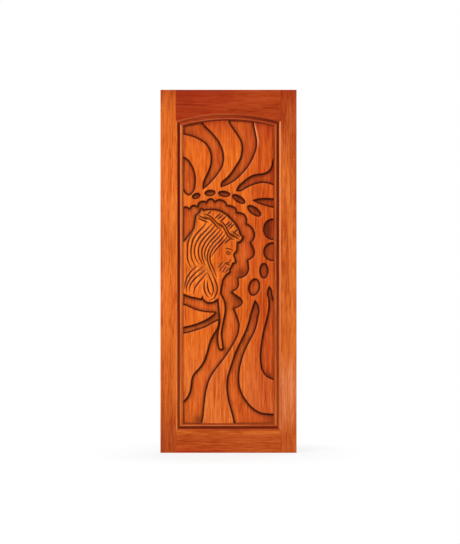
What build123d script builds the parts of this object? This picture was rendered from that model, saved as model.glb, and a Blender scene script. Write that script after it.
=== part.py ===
# Carved temple door: one leaf of stained hardwood. Two stiles, a top rail with an arched underside and a
# bottom rail are tenoned together round one panel, whose front is carved in sunk relief with a robed
# figure in profile among rays. Planted mouldings, mitred at their corners, line the panel: a bead on the
# front and a plain bevel on the back.
# Millimetres. X runs across the leaf, Y from the carved front to the plain back, Z up, and the origin is
# at the middle of the bottom edge.
from build123d import *

import os
from math import ceil, pi, sin, sqrt

os.makedirs("parts", exist_ok=True)

# Leaf
door_width = 762.0
door_height = 2032.0
door_thickness = 44.0
arris_radius = 2.0

# Frame members
stile_width = 87.0
bottom_rail_width = 125.0
top_rail_width = 132.0  # at the crown of its arch, where it is narrowest
arch_rise = 33.0  # of the sight opening, which is what shows inside the mouldings

# Panel and its groove in the frame
panel_recess = 8.0  # from the face of the frame down to the face of the panel
panel_edge_gap = 1.5
groove_width = 14.0
groove_depth = 14.0
tongue_side_gap = 0.2
tongue_end_gap = 2.0

# Planted front moulding, from the frame inwards: flush band, sunk quirk, round bead, flat fillet
band_width = 8.0
quirk_width = 13.0
bead_width = 12.0
fillet_width = 7.0
band_chamfer = 2.5
joint_chamfer = 0.8
quirk_slope = 3.0  # width of the slope at each side of the quirk's floor
# Heights over the panel, as shares of the recess that the moulding fills
quirk_rim_share = 0.32
quirk_floor_share = 0.15
bead_height_share = 0.90
fillet_height_share = 0.28

# Tenons on the ends of the rails, in blind mortises of the stiles
tenon_thickness = 14.0
tenon_shoulder = 22.0  # from the outer edge of the rail, and from the panel's groove
mortise_cover = 20.0  # wood left between a mortise and the outer edge of the stile
tenon_side_gap = 0.1
tenon_end_gap = 2.0

# Carving
ground_depth = 8.0
cut_depth = 3.0
hair_cut_width = 6.0
face_cut_width = 4.0
crown_cut_width = 5.0
crown_half_width = 15.0
crown_twists = 3
arcs_per_place_share = 0.6

# Sizes that follow
half_width = door_width / 2
half_thickness = door_thickness / 2
panel_face = half_thickness - panel_recess
moulding_width = band_width + quirk_width + bead_width + fillet_width
frame_half = half_width - stile_width
sight_half = frame_half - moulding_width
sight_width = sight_half * 2
sight_bottom = bottom_rail_width + moulding_width
sight_crown = door_height - top_rail_width - moulding_width
sight_height = sight_crown - sight_bottom
sight_spring = sight_crown - arch_rise
arch_radius = (sight_half**2 + arch_rise**2) / (arch_rise * 2)
arch_centre = sight_crown - arch_radius
mortise_depth = stile_width - mortise_cover

middle_plane = Plane(origin=(0, 0, 0), x_dir=(1, 0, 0), z_dir=(0, -1, 0))
front_plane = middle_plane.offset(panel_face)


def arch_height(x, outward):
    """Height at x of the sight opening's arch, after growing the opening outward all round."""
    return arch_centre + sqrt((arch_radius + outward) ** 2 - x**2)


frame_spring = arch_height(frame_half, moulding_width)
groove_spring = arch_height(frame_half, moulding_width + groove_depth)
tenon_spans = {
    "bottom": (tenon_shoulder, bottom_rail_width - groove_depth - tenon_shoulder),
    "top": (groove_spring + tenon_shoulder, door_height - tenon_shoulder),
}


def tenon_face(rail, side, reach, gap):
    """Side view of a tenon, or with no gap of its mortise, from the shoulder of the joint into the stile."""
    low, high = tenon_spans[rail]
    with Locations((side * (frame_half + reach / 2), (low + high) / 2)):
        Rectangle(reach, high - low - gap * 2)


def opening_face(outward, below=None):
    """The arched sight opening, grown outward at its sides and arch, and below at its bottom edge."""
    side = sight_half + outward
    low = sight_bottom - (outward if below is None else below)
    spring = arch_height(side, outward)
    with BuildLine() as outline:
        Polyline((-side, spring), (-side, low), (side, low), (side, spring))
        ThreePointArc((side, spring), (0, arch_height(0, outward)), (-side, spring))
    make_face(outline.edges())


def bead_section():
    """Section of the front moulding: across from the frame inwards, and up from the panel's face."""
    quirk_start = band_width
    bead_start = quirk_start + quirk_width
    fillet_start = bead_start + bead_width
    floor = panel_recess * quirk_floor_share
    fillet_height = panel_recess * fillet_height_share
    with BuildLine() as outline:
        Polyline(
            (0, 0),
            (0, panel_recess - joint_chamfer),
            (joint_chamfer, panel_recess),
            (band_width - band_chamfer, panel_recess),
            (band_width, panel_recess - band_chamfer),
            (quirk_start, panel_recess * quirk_rim_share),
            (quirk_start + quirk_slope, floor),
            (bead_start - quirk_slope, floor),
            (bead_start, fillet_height),
        )
        ThreePointArc(
            (bead_start, fillet_height),
            (bead_start + bead_width / 2, panel_recess * bead_height_share),
            (fillet_start, fillet_height),
        )
        Polyline((fillet_start, fillet_height), (moulding_width, fillet_height), (moulding_width, 0), (0, 0))
    make_face(outline.edges())


def bevel_section():
    """Section of the plainer back moulding, drawn like the front one: a flush band and a long bevel."""
    with BuildLine() as outline:
        Polyline(
            (0, 0),
            (0, panel_recess - joint_chamfer),
            (joint_chamfer, panel_recess),
            (band_width, panel_recess),
            (moulding_width, panel_recess * fillet_height_share),
            (moulding_width, 0),
            close=True,
        )
    make_face(outline.edges())


# Outlines of the carving. A place is (across, up) as shares of the sight opening's width and height, from
# its lower left corner. In a stroke two places are a line, three an arc and more a smooth curve. Outlines
# that leave the opening run on past its edge, and are trimmed by it.

FLAME_ONE_SHARES = (
    ((-0.06, 0.957), (0.022, 0.953), (0.119, 0.945), (0.209, 0.931), (0.276, 0.910), (0.304, 0.877),
     (0.290, 0.846), (0.252, 0.819), (0.215, 0.790), (0.216, 0.772)),
    ((0.216, 0.772), (0.284, 0.788), (0.358, 0.813), (0.430, 0.844), (0.454, 0.880), (0.437, 0.907),
     (0.381, 0.939), (0.298, 0.968), (0.228, 0.990), (0.195, 1.02)),
    ((0.195, 1.02), (-0.06, 1.02)),
    ((-0.06, 1.02), (-0.06, 0.957)),
)
FLAME_TWO_SHARES = (
    ((0.490, 1.02), (0.511, 0.990), (0.549, 0.971), (0.600, 0.949), (0.638, 0.926), (0.643, 0.901),
     (0.623, 0.874), (0.578, 0.852), (0.511, 0.822), (0.444, 0.803), (0.409, 0.786), (0.418, 0.779)),
    ((0.418, 0.779), (0.493, 0.788), (0.575, 0.802), (0.649, 0.823), (0.717, 0.847), (0.773, 0.876),
     (0.806, 0.903), (0.820, 0.927), (0.806, 0.956), (0.787, 0.983), (0.770, 1.02)),
    ((0.770, 1.02), (0.490, 1.02)),
)
FLAME_THREE_SHARES = (
    ((0.584, 0.767), (0.592, 0.777), (0.649, 0.796), (0.724, 0.814), (0.814, 0.824), (0.911, 0.829),
     (0.959, 0.840), (0.978, 0.860), (1.06, 0.885)),
    ((1.06, 0.885), (1.06, 0.780)),
    ((1.06, 0.780), (1.0, 0.786), (0.926, 0.793), (0.821, 0.792), (0.739, 0.783), (0.664, 0.771),
     (0.607, 0.765), (0.584, 0.767)),
)
LEFT_PETAL_SHARES = (
    ((-0.06, 0.886), (0.030, 0.878), (0.089, 0.860), (0.123, 0.838), (0.143, 0.803), (0.130, 0.776),
     (0.089, 0.754), (0.045, 0.752), (0.0, 0.781), (-0.06, 0.820)),
    ((-0.06, 0.820), (-0.06, 0.886)),
)
RIGHT_WEDGE_SHARES = (
    ((0.764, 0.737), (0.836, 0.743), (0.948, 0.744), (1.06, 0.742)),
    ((1.06, 0.742), (1.06, 0.707)),
    ((1.06, 0.707), (0.948, 0.715), (0.858, 0.723), (0.764, 0.737)),
)
LONG_LEAF_SHARES = (
    ((0.791, 0.408), (0.758, 0.380), (0.709, 0.326), (0.642, 0.278), (0.567, 0.231), (0.519, 0.186),
     (0.483, 0.148), (0.478, 0.115), (0.500, 0.071), (0.541, 0.024), (0.570, -0.02)),
    ((0.570, -0.02), (1.06, -0.02)),
    ((1.06, -0.02), (1.06, 0.032)),
    ((1.06, 0.032), (0.941, 0.032), (0.829, 0.039), (0.743, 0.060), (0.676, 0.086), (0.621, 0.131),
     (0.623, 0.170), (0.657, 0.217), (0.720, 0.262), (0.797, 0.307), (0.836, 0.362), (0.838, 0.387),
     (0.791, 0.408)),
)
FAR_LEAF_SHARES = (
    ((0.948, 0.454), (0.928, 0.447), (0.928, 0.430), (0.941, 0.400), (0.935, 0.370), (0.914, 0.342),
     (0.873, 0.293), (0.849, 0.242), (0.846, 0.207), (0.864, 0.179), (0.905, 0.157), (0.975, 0.145),
     (1.06, 0.139)),
    ((1.06, 0.139), (1.06, 0.370)),
    ((1.06, 0.370), (1.004, 0.404), (0.982, 0.433), (0.972, 0.447), (0.948, 0.454)),
)
HALO_SHARES = (
    ((-0.02, 0.709), (0.026, 0.717), (0.071, 0.711)),
    ((0.071, 0.711), (0.113, 0.722), (0.153, 0.718)),
    ((0.153, 0.718), (0.200, 0.735), (0.257, 0.733)),
    ((0.257, 0.733), (0.306, 0.744), (0.351, 0.735)),
    ((0.351, 0.735), (0.400, 0.741), (0.455, 0.736), (0.490, 0.722)),
    ((0.490, 0.722), (0.535, 0.720), (0.578, 0.713), (0.598, 0.699)),
    ((0.598, 0.699), (0.649, 0.696), (0.694, 0.686), (0.709, 0.671), (0.705, 0.661)),
    ((0.705, 0.661), (0.750, 0.652), (0.783, 0.638), (0.796, 0.622), (0.784, 0.608), (0.752, 0.597)),
    ((0.752, 0.597), (0.776, 0.583), (0.791, 0.567), (0.785, 0.553), (0.757, 0.544), (0.721, 0.538)),
    ((0.721, 0.538), (0.728, 0.520), (0.724, 0.502), (0.694, 0.488), (0.611, 0.480)),
    ((0.611, 0.480), (0.616, 0.463), (0.607, 0.448), (0.582, 0.440), (0.545, 0.434)),
    ((0.545, 0.434), (0.600, 0.422), (0.648, 0.410), (0.660, 0.400), (0.634, 0.388), (0.565, 0.379)),
    ((0.565, 0.379), (0.595, 0.358), (0.623, 0.333), (0.620, 0.308), (0.590, 0.280), (0.537, 0.251),
     (0.448, 0.211), (0.343, 0.170), (0.296, 0.146), (0.261, 0.111), (0.242, 0.077), (0.229, 0.035),
     (0.195, -0.02)),
    ((0.195, -0.02), (-0.06, -0.02)),
    ((-0.06, -0.02), (-0.06, 0.690)),
    ((-0.06, 0.690), (-0.02, 0.709)),
)
SUNK_SHARES = (
    FLAME_ONE_SHARES,
    FLAME_TWO_SHARES,
    FLAME_THREE_SHARES,
    LEFT_PETAL_SHARES,
    RIGHT_WEDGE_SHARES,
    LONG_LEAF_SHARES,
    FAR_LEAF_SHARES,
    HALO_SHARES,
)
# Sunk ovals between the halo and the rays: centre, half length and half width as shares of the sight
# width, and the turn of the length from the horizontal in degrees
OVAL_SHARES = (
    (0.145, 0.751, 0.049, 0.032, 20),
    (0.298, 0.761, 0.062, 0.036, 5),
    (0.454, 0.758, 0.069, 0.034, -8),
    (0.614, 0.741, 0.083, 0.038, -32),
    (0.784, 0.702, 0.091, 0.044, -36),
    (0.985, 0.641, 0.118, 0.103, 90),
    (0.985, 0.567, 0.104, 0.101, 90),
    (0.892, 0.504, 0.087, 0.052, 90),
    (0.784, 0.450, 0.098, 0.065, 78),
)

# Raised pieces left standing in the halo's ground
SKIRT_SHARES = (
    ((-0.06, 0.298), (0.060, 0.299), (0.164, 0.309), (0.254, 0.318), (0.330, 0.331), (0.388, 0.340)),
    ((0.388, 0.340), (0.374, 0.316), (0.317, 0.287), (0.269, 0.246), (0.236, 0.213), (0.164, 0.179),
     (0.104, 0.157), (0.083, 0.125), (0.052, 0.091), (0.0, 0.073), (-0.06, 0.064)),
    ((-0.06, 0.064), (-0.06, 0.298)),
)
SLEEVE_SHARES = (
    ((-0.06, 0.394), (0.060, 0.385), (0.164, 0.372), (0.250, 0.367), (0.350, 0.365)),
    ((0.350, 0.365), (0.313, 0.355), (0.216, 0.338), (0.089, 0.324), (-0.06, 0.317)),
    ((-0.06, 0.317), (-0.06, 0.394)),
)
HAIRLINE_SHARE = (0.592, 0.598)
CHIN_SHARE = (0.488, 0.500)
HEAD_TOP_SHARES = (
    ((-0.06, 0.575), (0.0, 0.597), (0.078, 0.623), (0.119, 0.642), (0.136, 0.667), (0.145, 0.686)),
    ((0.145, 0.686), (0.186, 0.696)),
    ((0.186, 0.696), (0.198, 0.708)),
    ((0.198, 0.708), (0.222, 0.702)),
    ((0.222, 0.702), (0.298, 0.705), (0.375, 0.703), (0.448, 0.694), (0.533, 0.672), (0.593, 0.649),
     (0.628, 0.623)),
    ((0.628, 0.623), (0.655, 0.615)),
    ((0.655, 0.615), (0.638, 0.605), HAIRLINE_SHARE),
)
BEARD_SHARES = ((0.458, 0.487), (0.434, 0.476), (0.425, 0.462))
LOCKS_SHARES = (
    ((0.425, 0.462), (0.412, 0.447), (0.410, 0.425)),
    ((0.410, 0.425), (0.444, 0.406), (0.459, 0.377), (0.444, 0.346), (0.429, 0.321), (0.416, 0.293),
     (0.424, 0.272), (0.433, 0.253)),
    ((0.433, 0.253), (0.418, 0.246), (0.403, 0.251)),
    ((0.403, 0.251), (0.388, 0.278), (0.397, 0.307), (0.412, 0.335), (0.407, 0.365), (0.396, 0.393),
     (0.390, 0.414)),
    ((0.390, 0.414), (0.345, 0.404), (0.298, 0.400), (0.250, 0.404), (0.228, 0.411), (0.216, 0.423)),
    ((0.216, 0.423), (0.198, 0.412)),
    ((0.198, 0.412), (0.119, 0.417), (0.030, 0.425), (-0.06, 0.443)),
    ((-0.06, 0.443), (-0.06, 0.575)),
)

# Profile and lines of the face, on the usual thirds: brow, base of the nose and chin stand at one, two and
# three thirds of its length. A place is (down from hairline to chin, out from that line), in face lengths.
FACE_PROFILE_SHARES = (
    ((0, 0), (0.16, 0.035), (0.30, 0.045), (0.385, 0.010), (0.50, 0.065), (0.60, 0.130)),
    ((0.60, 0.130), (0.648, 0.105), (0.667, 0.045)),
    ((0.667, 0.045), (0.72, 0.065), (0.765, 0.028)),
    ((0.765, 0.028), (0.81, 0.052), (0.86, 0.018), (0.94, 0.045), (1.04, 0.0)),
)
FACE_CUT_SHARES = (
    ((0.31, -0.03), (0.275, -0.14), (0.31, -0.28)),
    ((0.41, -0.06), (0.375, -0.13), (0.41, -0.23)),
    ((0.42, -0.07), (0.445, -0.14), (0.415, -0.22)),
    ((0.60, 0.015), (0.625, -0.030), (0.665, -0.015)),
    ((0.765, 0.015), (0.758, -0.06), (0.778, -0.13)),
    ((0.695, 0.0), (0.715, -0.08), (0.80, -0.17)),
    ((0.87, -0.02), (0.96, -0.03), (1.05, -0.06)),
    ((0.85, -0.09), (0.97, -0.12), (1.08, -0.16)),
    ((0.80, -0.16), (0.93, -0.21), (1.05, -0.26)),
    ((0.72, -0.22), (0.86, -0.28), (0.98, -0.32)),
)

# Cuts of the hair, from the crown down past its gathering point, and of the cap above the crown
HAIR_CUT_SHARES = (
    ((0.101, 0.626), (0.060, 0.602), (0.048, 0.566), (0.058, 0.534), (0.093, 0.514)),
    ((0.262, 0.665), (0.172, 0.633), (0.108, 0.606), (0.089, 0.573), (0.097, 0.542), (0.138, 0.520)),
    ((0.312, 0.658), (0.216, 0.626), (0.142, 0.595), (0.127, 0.564), (0.144, 0.541), (0.179, 0.526)),
    ((0.350, 0.652), (0.250, 0.619), (0.179, 0.586), (0.170, 0.560), (0.190, 0.539), (0.216, 0.526)),
    ((0.384, 0.645), (0.280, 0.611), (0.213, 0.577), (0.205, 0.557), (0.226, 0.538), (0.246, 0.521)),
    ((0.413, 0.639), (0.310, 0.604), (0.250, 0.576), (0.239, 0.560), (0.257, 0.537)),
    ((0.440, 0.633), (0.343, 0.599), (0.280, 0.570), (0.267, 0.548), (0.290, 0.518), (0.336, 0.490)),
    ((0.466, 0.626), (0.373, 0.592), (0.306, 0.564), (0.297, 0.541), (0.325, 0.516), (0.369, 0.484)),
    ((0.490, 0.617), (0.404, 0.587), (0.345, 0.566), (0.313, 0.551)),
    ((0.532, 0.612), (0.505, 0.606), (0.455, 0.592)),
    ((0.170, 0.521), (0.101, 0.506), (0.045, 0.482), (0.018, 0.446)),
    ((0.225, 0.518), (0.142, 0.498), (0.078, 0.477), (0.036, 0.434)),
    ((0.245, 0.507), (0.172, 0.488), (0.097, 0.466), (0.069, 0.436)),
    ((0.262, 0.497), (0.194, 0.473), (0.140, 0.452), (0.117, 0.427)),
    ((0.239, 0.475), (0.231, 0.455), (0.246, 0.431), (0.280, 0.416)),
    ((0.269, 0.471), (0.269, 0.451), (0.288, 0.433), (0.313, 0.423)),
    ((0.272, 0.497), (0.315, 0.466), (0.332, 0.438), (0.310, 0.418)),
    ((0.318, 0.494), (0.362, 0.466), (0.377, 0.440), (0.350, 0.418), (0.300, 0.407)),
    ((0.262, 0.688), (0.287, 0.695), (0.312, 0.701)),
    ((0.350, 0.677), (0.382, 0.685), (0.414, 0.694)),
    ((0.380, 0.673), (0.410, 0.681), (0.440, 0.690)),
    ((0.411, 0.667), (0.443, 0.675), (0.475, 0.684)),
    ((0.466, 0.652), (0.493, 0.660), (0.520, 0.668)),
    ((0.487, 0.647), (0.514, 0.655), (0.541, 0.663)),
    ((0.508, 0.642), (0.535, 0.650), (0.562, 0.658)),
    ((0.561, 0.629), (0.581, 0.635), (0.601, 0.641)),
)
# Middle line of the crown, a vine of two strands that cross after each twist. The sway and half width of a
# strand are shares of the crown's half width. One strand shows for a share of a twist to each side of the
# crossing where it lies on top, and none shows at the very ends.
CROWN_SHARES = ((0.165, 0.683), (0.264, 0.677), (0.340, 0.668), (0.453, 0.644), (0.535, 0.622), (0.625, 0.611))
STRAND_SWAY_SHARE = 0.75
STRAND_HALF_SHARE = 0.48
STRAND_TOP_SHARE = 0.68
CROWN_END_SHARE = 0.04
STRAND_STATION_SHARES = (0, 0.25, 0.5, 0.75, 1)


def place(share):
    """A place of the carving in the plane of the panel's face."""
    across, up = share
    return Vector((across - 0.5) * sight_width, sight_bottom + up * sight_height)


def face_place(share):
    """A place of the figure's face, measured along and out from the line between hairline and chin."""
    along, out = share
    line = place(CHIN_SHARE) - place(HAIRLINE_SHARE)
    return place(HAIRLINE_SHARE) + line * along + Vector(-line.Y, line.X) * out


def draw_stroke(places):
    """One stroke of an outline: a line, an arc, or a smooth curve laid as a chain of arcs."""
    if len(places) == 2:
        Line(*places)
    elif len(places) == 3:
        ThreePointArc(*places)
    else:
        guide = Spline(*places, mode=Mode.PRIVATE)
        spans = ceil(len(places) * arcs_per_place_share)
        for span in range(spans):
            ThreePointArc(*[guide @ ((span + part) / spans) for part in (0, 0.5, 1)])


def carved_face(strokes, mode=Mode.ADD):
    """A closed outline of the carving, added to the sketch or taken from it."""
    with BuildLine() as outline:
        for places in strokes:
            draw_stroke(places)
    make_face(outline.edges(), mode=mode)


def share_strokes(shares):
    """The strokes of a table of shares as places on the panel."""
    return [[place(share) for share in stroke] for stroke in shares]


def head_strokes():
    """The figure's head, hair and hanging locks, with the profile of its face between crown and beard."""
    profile = [[face_place(share) for share in stroke] for stroke in FACE_PROFILE_SHARES]
    beard = [profile[-1][-1]] + [place(share) for share in BEARD_SHARES]
    return share_strokes(HEAD_TOP_SHARES) + profile + [beard] + share_strokes(LOCKS_SHARES)


crown_line = Spline(*[place(share) for share in CROWN_SHARES])


def crown_place(run, out):
    """A place on the crown, by the run along its middle line and the half widths out from it."""
    tangent = crown_line % run
    return crown_line @ run + Vector(-tangent.Y, tangent.X) * (out * crown_half_width)


def crown_cuts():
    """The cuts of the crown: both edges of the strand on top, at each crossing of the vine."""
    cuts = []
    for crossing in range(crown_twists + 1):
        side = (-1) ** (crossing + 1)
        start = max(crossing - STRAND_TOP_SHARE, CROWN_END_SHARE)
        end = min(crossing + STRAND_TOP_SHARE, crown_twists - CROWN_END_SHARE)
        for edge in (-1, 1):
            cut = []
            for share in STRAND_STATION_SHARES:
                twist = start + (end - start) * share
                out = STRAND_SWAY_SHARE * side * sin(pi * twist) + STRAND_HALF_SHARE * edge
                cut.append(crown_place(twist / crown_twists, out))
            cuts.append(cut)
    return cuts


def tool_cut(places, width):
    """One cut of a carving tool along places, widest at its middle and pointed at both ends."""
    with BuildLine() as outline:
        path = Spline(*places, mode=Mode.PRIVATE)
        sides = {-1: [], 1: []}
        spans = len(places) - 1
        for station in range(1, spans):
            run = station / spans
            tangent = path % run
            across = Vector(-tangent.Y, tangent.X)
            fullness = 1 - (2 * run - 1) ** 4
            for side, points in sides.items():
                points.append(path @ run + across * (side * fullness * width / 2))
        for points in sides.values():
            draw_stroke([path @ 0, *points, path @ 1])
    make_face(outline.edges())


def trim(*corners):
    """Cut the piece being made down to a polygon of the leaf's front view."""
    with BuildSketch(middle_plane) as window:
        with BuildLine() as outline:
            Polyline(*corners, close=True)
        make_face(outline.edges())
    extrude(window.sketch, amount=door_thickness, mode=Mode.INTERSECT)


def mouldings(section):
    """The lengths of a moulding on the front, mitred together: straight along stiles and bottom rail, and bent
    under the arch."""
    with BuildPart() as left:
        with BuildSketch(
            Plane(origin=(-frame_half, -panel_face, door_height), x_dir=(1, 0, 0), z_dir=(0, 0, -1))
        ):
            section()
        extrude(amount=door_height)
        trim(
            (-frame_half, bottom_rail_width),
            (-sight_half, sight_bottom),
            (-sight_half, sight_spring),
            (-frame_half, frame_spring),
        )
    with BuildPart() as right:
        mirror(left.part, about=Plane.YZ)
    with BuildPart() as bottom:
        with BuildSketch(
            Plane(origin=(-frame_half, -panel_face, bottom_rail_width), x_dir=(0, 0, 1), z_dir=(1, 0, 0))
        ):
            section()
        extrude(amount=frame_half * 2)
        trim(
            (-frame_half, bottom_rail_width),
            (frame_half, bottom_rail_width),
            (sight_half, sight_bottom),
            (-sight_half, sight_bottom),
        )
    with BuildPart() as top:
        ring_foot = arch_centre - arch_radius - moulding_width
        with BuildSketch(Plane(origin=(0, -panel_face, ring_foot), x_dir=(0, 0, 1), z_dir=(1, 0, 0))):
            section()
        revolve(axis=Axis((0, 0, arch_centre), (0, 1, 0)))
        trim(
            (-frame_half, frame_spring),
            (-sight_half, sight_spring),
            (sight_half, sight_spring),
            (frame_half, frame_spring),
            (frame_half, door_height),
            (-frame_half, door_height),
        )
    return {"left": left.part, "right": right.part, "bottom": bottom.part, "top": top.part}


def export(part, name):
    """Label one finished piece and write its STEP file."""
    part.label = name
    export_step(part, f"parts/{name}.step")


# Stiles: full height, grooved for the panel and mortised for the rails
with BuildPart() as left_stile:
    with BuildSketch(middle_plane):
        with Locations((-half_width + stile_width / 2, door_height / 2)):
            Rectangle(stile_width, door_height)
    extrude(amount=half_thickness, both=True)
    outer_edges = left_stile.edges().filter_by(Axis.Z).group_by(Axis.X)[0]
    end_edges = left_stile.edges().filter_by(Axis.X)
    fillet(outer_edges + end_edges, radius=arris_radius)
    with BuildSketch(middle_plane):
        opening_face(moulding_width + groove_depth)
    extrude(amount=groove_width / 2, both=True, mode=Mode.SUBTRACT)
    with BuildSketch(middle_plane):
        for rail in tenon_spans:
            tenon_face(rail, -1, mortise_depth, 0)
    extrude(amount=tenon_thickness / 2, both=True, mode=Mode.SUBTRACT)
export(left_stile.part, "left_stile")

with BuildPart() as right_stile:
    mirror(left_stile.part, about=Plane.YZ)
export(right_stile.part, "right_stile")

# Rails: shouldered between the stiles, with a tenon at each end and a groove along the panel
rail_spans = {
    "bottom": (0, bottom_rail_width),
    "top": (sight_spring, door_height),
}
for rail, (low, high) in rail_spans.items():
    outwards = Axis.Z if rail == "bottom" else -Axis.Z
    with BuildPart() as rail_part:
        with BuildSketch(middle_plane):
            with Locations((0, (low + high) / 2)):
                Rectangle(frame_half * 2, high - low)
        extrude(amount=half_thickness, both=True)
        arris = rail_part.edges().filter_by(Axis.X).group_by(outwards)[0]
        fillet(arris, radius=arris_radius)
        with BuildSketch(middle_plane):
            opening_face(moulding_width)
        extrude(amount=half_thickness, both=True, mode=Mode.SUBTRACT)
        with BuildSketch(middle_plane):
            opening_face(moulding_width + groove_depth)
        extrude(amount=groove_width / 2, both=True, mode=Mode.SUBTRACT)
        with BuildSketch(middle_plane):
            for side in (-1, 1):
                tenon_face(rail, side, mortise_depth - tenon_end_gap, tenon_side_gap)
        extrude(amount=tenon_thickness / 2 - tenon_side_gap, both=True)
    export(rail_part.part, f"{rail}_rail")

# Panel: a field that fills the frame, a tongue that stands on the groove of the bottom rail, and the carving
with BuildPart() as carved_panel:
    with BuildSketch(middle_plane):
        opening_face(moulding_width - panel_edge_gap)
    extrude(amount=panel_face, both=True)
    with BuildSketch(middle_plane):
        tongue_reach = moulding_width + groove_depth
        opening_face(tongue_reach - tongue_end_gap, below=tongue_reach)
    extrude(amount=groove_width / 2 - tongue_side_gap, both=True)
    with BuildSketch(front_plane) as ground:
        for shares in SUNK_SHARES:
            carved_face(share_strokes(shares))
        for across, up, half_length, half_breadth, turn in OVAL_SHARES:
            with Locations(place((across, up))):
                Ellipse(half_length * sight_width, half_breadth * sight_width, rotation=turn)
        for shares in (SKIRT_SHARES, SLEEVE_SHARES):
            carved_face(share_strokes(shares), mode=Mode.SUBTRACT)
        carved_face(head_strokes(), mode=Mode.SUBTRACT)
        with BuildSketch(mode=Mode.INTERSECT):
            opening_face(0)
    extrude(amount=-ground_depth, mode=Mode.SUBTRACT)
    with BuildSketch(front_plane) as cuts:
        for shares in HAIR_CUT_SHARES:
            tool_cut([place(share) for share in shares], hair_cut_width)
        for shares in FACE_CUT_SHARES:
            tool_cut([face_place(share) for share in shares], face_cut_width)
        for places in crown_cuts():
            tool_cut(places, crown_cut_width)
    extrude(amount=-cut_depth, mode=Mode.SUBTRACT)
export(carved_panel.part, "carved_panel")

# Mouldings: a bead on the carved front, a plain bevel on the back
for side_name, moulding in mouldings(bead_section).items():
    export(moulding, f"front_moulding_{side_name}")
for side_name, moulding in mouldings(bevel_section).items():
    with BuildPart() as back_moulding:
        mirror(moulding, about=Plane.XZ)
    export(back_moulding.part, f"back_moulding_{side_name}")
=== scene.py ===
from collections import namedtuple
from math import asin, ceil, cos, pi, radians, sin, sqrt

import bpy
import numpy as np
from bpy.props import FloatProperty, FloatVectorProperty, IntProperty, PointerProperty
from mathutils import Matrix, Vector, noise
from mathutils.bvhtree import BVHTree
from mathutils.geometry import delaunay_2d_cdt
from mathutils.kdtree import KDTree


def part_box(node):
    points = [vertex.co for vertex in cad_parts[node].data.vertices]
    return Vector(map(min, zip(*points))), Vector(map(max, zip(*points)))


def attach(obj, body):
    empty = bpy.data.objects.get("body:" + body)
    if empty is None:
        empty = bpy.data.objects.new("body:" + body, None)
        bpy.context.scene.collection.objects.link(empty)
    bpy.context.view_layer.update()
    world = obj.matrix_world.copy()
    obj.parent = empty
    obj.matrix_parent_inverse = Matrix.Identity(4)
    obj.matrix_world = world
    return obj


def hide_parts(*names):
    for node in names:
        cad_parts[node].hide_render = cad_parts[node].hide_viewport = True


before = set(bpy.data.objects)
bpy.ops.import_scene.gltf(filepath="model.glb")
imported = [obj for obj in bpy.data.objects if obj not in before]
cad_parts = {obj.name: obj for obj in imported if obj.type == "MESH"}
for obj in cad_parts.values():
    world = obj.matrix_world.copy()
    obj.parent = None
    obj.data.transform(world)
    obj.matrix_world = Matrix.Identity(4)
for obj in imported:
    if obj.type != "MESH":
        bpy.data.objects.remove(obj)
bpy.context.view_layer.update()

bl_info = {
    "name": "Carved Temple Door",
    "version": (1, 0, 0),
    "blender": (4, 5, 0),
    "location": "View3D > Sidebar > Temple Door",
    "description": "Carved panel, mouldings, stained wood and studio of a door, round its fixed solids",
    "category": "Object",
}

# Places read from the fixed solids. The front of the leaf looks along -Y.
LEAF_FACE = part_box("left_stile")[0].y
PANEL_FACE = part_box("carved_panel")[0].y
RECESS = PANEL_FACE - LEAF_FACE
LEAF_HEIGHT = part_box("left_stile")[1].z
LEAF_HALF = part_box("right_stile")[1].x
FRAME_HALF = -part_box("left_stile")[1].x
RAIL_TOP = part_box("front_moulding_left")[0].z
SIGHT_HALF = -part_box("front_moulding_left")[1].x
SIGHT_WIDTH = SIGHT_HALF * 2
MOULDING_WIDTH = FRAME_HALF - SIGHT_HALF
SIGHT_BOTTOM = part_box("front_moulding_bottom")[1].z
SIGHT_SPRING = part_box("front_moulding_top")[0].z
FRAME_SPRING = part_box("front_moulding_left")[1].z
SIGHT_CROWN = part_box("front_moulding_top")[1].z - MOULDING_WIDTH
SIGHT_HEIGHT = SIGHT_CROWN - SIGHT_BOTTOM
ARCH_RISE = SIGHT_CROWN - SIGHT_SPRING
ARCH_RADIUS = (SIGHT_HALF**2 + ARCH_RISE**2) / (ARCH_RISE * 2)
ARCH_CENTRE = SIGHT_CROWN - ARCH_RADIUS

# Heights of a mitre's outer and inner end, at the foot and at the head of the mouldings
FOOT_MITRE = (RAIL_TOP, SIGHT_BOTTOM)
HEAD_MITRE = (FRAME_SPRING, SIGHT_SPRING)

# Corners of a mesh nearer than the first are one corner, and places or depths nearer than the second are one.
# The third keeps a division from failing.
MERGE_DISTANCE = 0.00001
LEVEL_SLACK = 0.000001
TINY = 1e-12

# The figure's face lies between hairline and chin, given as shares of the sight opening
HAIRLINE_SHARE = (0.592, 0.598)
CHIN_SHARE = (0.488, 0.500)
# Soft forms of the face on the usual thirds: down from hairline to chin, out from that line, half length,
# half width, all in face lengths, and the depth as a share of the carving tool's depth (less is raised)
FACE_FORM_SHARES = (
    (0.40, -0.13, 0.085, 0.140, 0.85),
    (0.405, -0.135, 0.034, 0.070, -0.62),
    (0.22, -0.36, 0.120, 0.120, 0.35),
    (0.56, -0.055, 0.120, 0.035, 0.55),
    (0.70, -0.20, 0.080, 0.090, 0.30),
    (0.69, -0.010, 0.030, 0.060, 0.45),
    (0.785, -0.020, 0.016, 0.070, 0.45),
    (0.875, -0.010, 0.030, 0.080, 0.55),
    (0.55, -0.42, 0.160, 0.060, 0.60),
)
# The least and the most that the soft forms reach down and out, and over what they fade
FACE_LOW_SHARE = (-0.02, -0.62)
FACE_HIGH_SHARE = (1.15, 0.20)
FACE_FADE_SHARE = 0.12
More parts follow.
